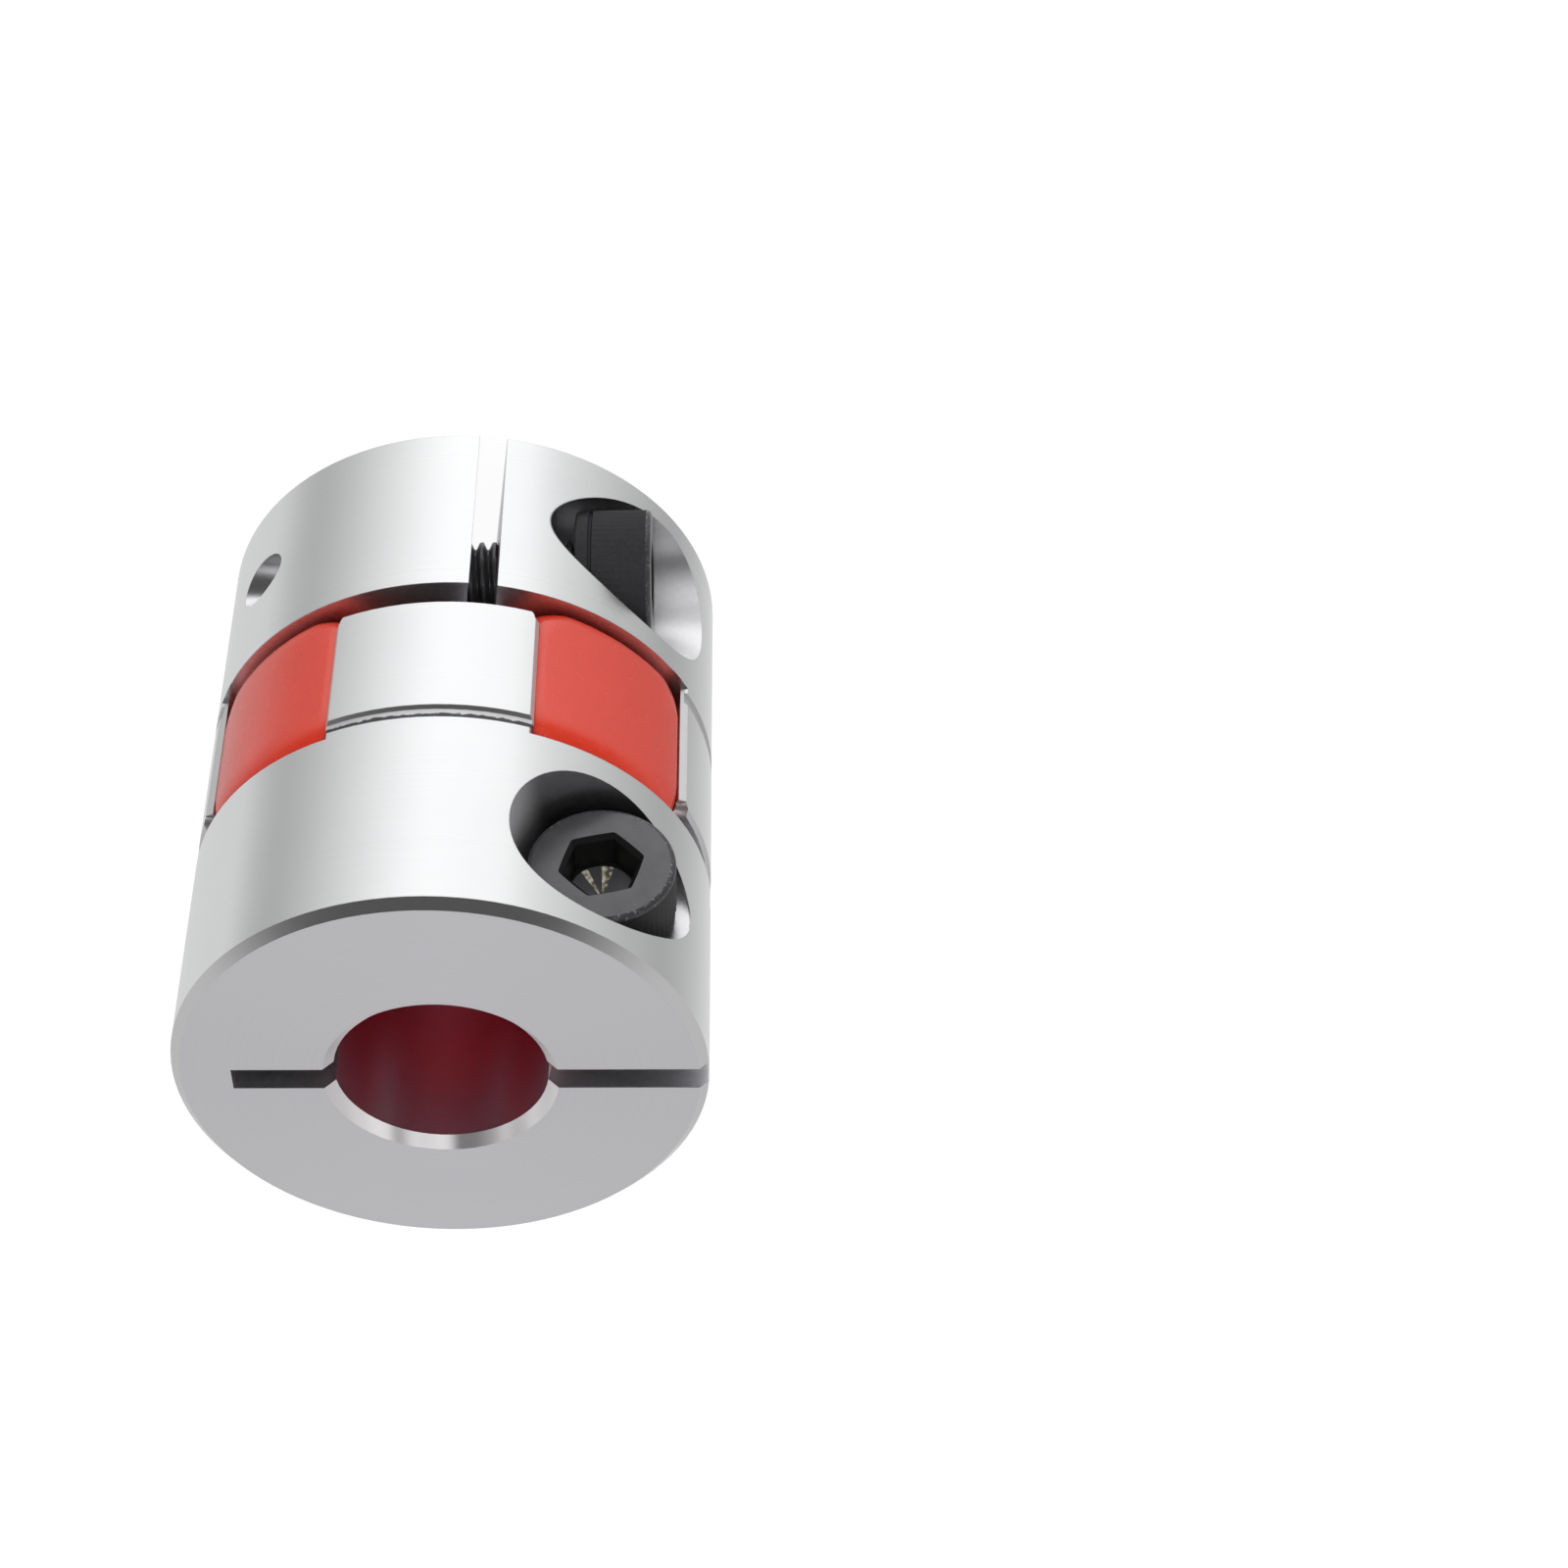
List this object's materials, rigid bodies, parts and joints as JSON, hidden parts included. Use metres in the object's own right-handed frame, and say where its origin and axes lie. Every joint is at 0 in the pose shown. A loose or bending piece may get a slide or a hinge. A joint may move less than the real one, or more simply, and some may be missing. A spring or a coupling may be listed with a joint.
{
  "type": "flexible jaw coupling",
  "caption": "Short round shaft coupling: split aluminium clamp hubs with meshing jaws, cushioned by a red elastic spider and tightened by socket head screws.",
  "frame": {"origin": "centre of the lower hub's end face, on which the coupling stands", "axes": "+Z along the shafts' common axis, from the small bore to the large bore; the upper clamp screw's head points to -Y"},
  "size_m": [0.02, 0.02, 0.025],
  "materials": {
    "turned_aluminium": "bright turned",
    "red_polyurethane": "satin, slightly translucent",
    "black_steel": "black oxide"
  },
  "bodies": {
    "root": {"lower_hub": "turned_aluminium", "upper_hub": "turned_aluminium", "spider": "red_polyurethane", "lower_clamp_screw": "black_steel", "upper_clamp_screw": "black_steel"}
  },
  "joints": []
}
